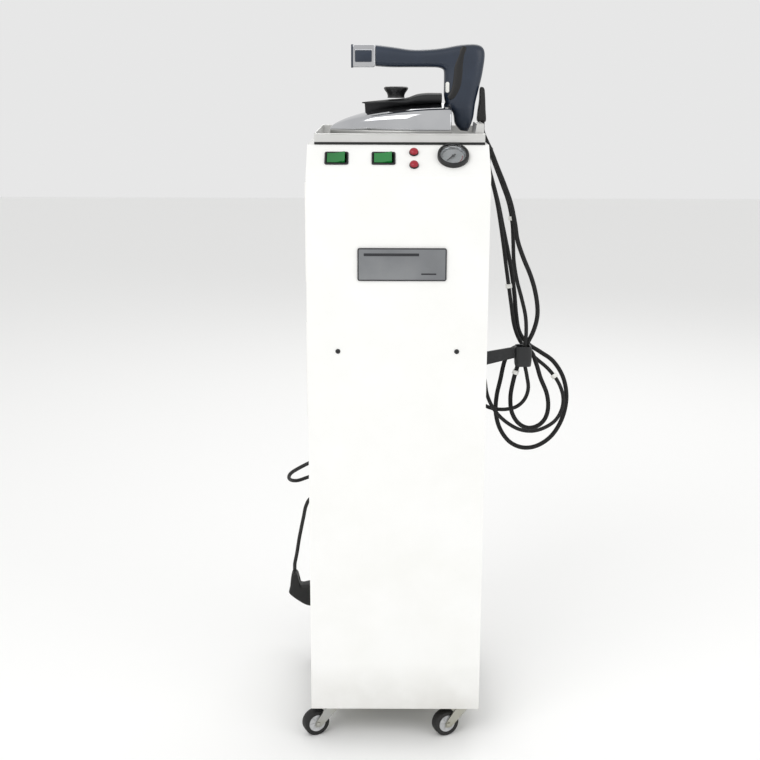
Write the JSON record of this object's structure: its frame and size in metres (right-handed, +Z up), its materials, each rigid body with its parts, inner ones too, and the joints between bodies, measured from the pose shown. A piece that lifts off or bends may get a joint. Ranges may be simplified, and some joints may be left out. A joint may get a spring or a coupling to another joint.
{
  "type": "steam ironing station",
  "caption": "Wheeled steel cabinet that makes steam for an iron, with a steam iron parked on its top tray, rocker switches, gauge, hose holder and a coiled mains lead behind.",
  "frame": {"origin": "on the floor, in the middle of the footprint of the cabinet with its castors and hose holder", "axes": "+Z up, the front panel faces -Y, +X to the right of someone facing the front panel"},
  "size_m": [0.4679, 0.391, 1.0546],
  "materials": {
    "white_paint": "gloss powder coat",
    "stainless": "brushed",
    "chrome": "polished",
    "zinc": "zinc plated",
    "black_plastic": "matte",
    "handle_plastic": "satin",
    "green_lens": "gloss, translucent",
    "red_lens": "gloss, translucent",
    "rubber": "matte",
    "dark_steel": "satin",
    "silicone": "matte",
    "glass": "clear",
    "brass": "machined",
    "tank_plastic": "translucent moulded"
  },
  "bodies": {
    "root": {"front_panel": "white_paint", "left_side_panel": "white_paint", "right_side_panel": "white_paint", "top_plate": "white_paint", "back_cover": "white_paint", "base_pan": "zinc", "door_hinge": "zinc", "tank_shelf": "zinc", "castor_plate_front_left": "zinc", "castor_plate_front_right": "zinc", "castor_plate_rear_left": "zinc", "castor_plate_rear_right": "zinc", "tray": "stainless", "nameplate": "stainless", "boiler": "stainless", "rest_mat": "silicone", "main_switch_frame": "black_plastic", "iron_switch_frame": "black_plastic", "gauge_case": "black_plastic", "pump": "black_plastic", "cord_gland": "black_plastic", "cord_peg": "black_plastic", "hose_outlet": "black_plastic", "power_lamp": "red_lens", "steam_lamp": "red_lens", "gauge_glass": "glass", "heater": "brass", "safety_valve": "brass", "steam_valve": "brass", "drain_tap": "brass", "water_tank": "tank_plastic", "hose_arm": "dark_steel", "hose_cuff": "dark_steel", "steam_hose": "rubber", "iron_cable": "rubber", "mains_lead_start": "rubber", "mains_lead_tail": "rubber", "mains_coil": "rubber", "mains_plug": "rubber"},
    "tank_door": {"tank_door": "white_paint"},
    "main_rocker": {"main_rocker": "green_lens"},
    "iron_rocker": {"iron_rocker": "green_lens"},
    "gauge_needle": {"gauge_needle": "black_plastic"},
    "drain_lever": {"drain_lever": "red_lens"},
    "iron": {"sole_plate": "stainless", "iron_cover": "chrome", "heat_shield": "black_plastic", "iron_handle": "handle_plastic", "handle_cap": "chrome", "cord_boot": "black_plastic"},
    "thermostat_knob": {"thermostat_knob": "black_plastic"},
    "steam_button": {"steam_button": "handle_plastic"},
    "castor_fork_front_left": {"castor_fork_front_left": "zinc"},
    "castor_wheel_front_left": {"castor_wheel_front_left": "rubber"},
    "castor_fork_front_right": {"castor_fork_front_right": "zinc"},
    "castor_wheel_front_right": {"castor_wheel_front_right": "rubber"},
    "castor_fork_rear_left": {"castor_fork_rear_left": "zinc"},
    "castor_wheel_rear_left": {"castor_wheel_rear_left": "rubber"},
    "castor_fork_rear_right": {"castor_fork_rear_right": "zinc"},
    "castor_wheel_rear_right": {"castor_wheel_rear_right": "rubber"}
  },
  "joints": [
    {"name": "main_rocker_tilt", "type": "hinge", "parent": "root", "child": "main_rocker", "pos_m": [-0.12099, -0.15392, 0.89532], "axis": [0, 0.766, 0.6428], "range_deg": [0, 16]},
    {"name": "iron_rocker_tilt", "type": "hinge", "parent": "root", "child": "iron_rocker", "pos_m": [-0.05439, -0.15392, 0.89532], "axis": [0, 0.766, 0.6428], "range_deg": [0, 16]},
    {"name": "gauge_needle_turn", "type": "hinge", "parent": "root", "child": "gauge_needle", "pos_m": [0.04441, -0.15212, 0.89944], "axis": [0, 0.6428, -0.766], "range_deg": [0, 270]},
    {"name": "tank_door_hinge", "type": "hinge", "parent": "root", "child": "tank_door", "pos_m": [-0.16689, 0.09875, 0.693], "axis": [0, 0, -1], "range_deg": [0, 100]},
    {"name": "drain_lever_turn", "type": "hinge", "parent": "root", "child": "drain_lever", "pos_m": [0.02641, 0.15875, 0.1103], "axis": [0, 0, 1], "range_deg": [0, 90]},
    {"name": "iron_lift", "type": "slide", "parent": "root", "child": "iron", "axis": [0, 0, 1], "range_m": [0, 0.15]},
    {"name": "thermostat_turn", "type": "hinge", "parent": "iron", "child": "thermostat_knob", "pos_m": [-0.03559, -0.02125, 0.9776], "axis": [0, 0, 1], "range_deg": [0, 270]},
    {"name": "steam_button_press", "type": "slide", "parent": "iron", "child": "steam_button", "axis": [0, 1, 0], "range_m": [0, 0.0025], "stiffness_N_per_m": 300},
    {"name": "castor_swivel_front_left", "type": "hinge", "parent": "root", "child": "castor_fork_front_left", "pos_m": [-0.13559, -0.15125, 0.045], "axis": [0, 0, 1], "continuous": true},
    {"name": "castor_spin_front_left", "type": "hinge", "parent": "castor_fork_front_left", "child": "castor_wheel_front_left", "pos_m": [-0.15824, -0.16182, 0.0205], "axis": [-0.4226, 0.9063, 0], "continuous": true},
    {"name": "castor_swivel_front_right", "type": "hinge", "parent": "root", "child": "castor_fork_front_right", "pos_m": [0.06841, -0.15125, 0.045], "axis": [0, 0, 1], "continuous": true},
    {"name": "castor_spin_front_right", "type": "hinge", "parent": "castor_fork_front_right", "child": "castor_wheel_front_right", "pos_m": [0.04576, -0.16182, 0.0205], "axis": [-0.4226, 0.9063, 0], "continuous": true},
    {"name": "castor_swivel_rear_left", "type": "hinge", "parent": "root", "child": "castor_fork_rear_left", "pos_m": [-0.13559, 0.10875, 0.045], "axis": [0, 0, 1], "continuous": true},
    {"name": "castor_spin_rear_left", "type": "hinge", "parent": "castor_fork_rear_left", "child": "castor_wheel_rear_left", "pos_m": [-0.15824, 0.09818, 0.0205], "axis": [-0.4226, 0.9063, 0], "continuous": true},
    {"name": "castor_swivel_rear_right", "type": "hinge", "parent": "root", "child": "castor_fork_rear_right", "pos_m": [0.06841, 0.10875, 0.045], "axis": [0, 0, 1], "continuous": true},
    {"name": "castor_spin_rear_right", "type": "hinge", "parent": "castor_fork_rear_right", "child": "castor_wheel_rear_right", "pos_m": [0.04576, 0.09818, 0.0205], "axis": [-0.4226, 0.9063, 0], "continuous": true}
  ]
}
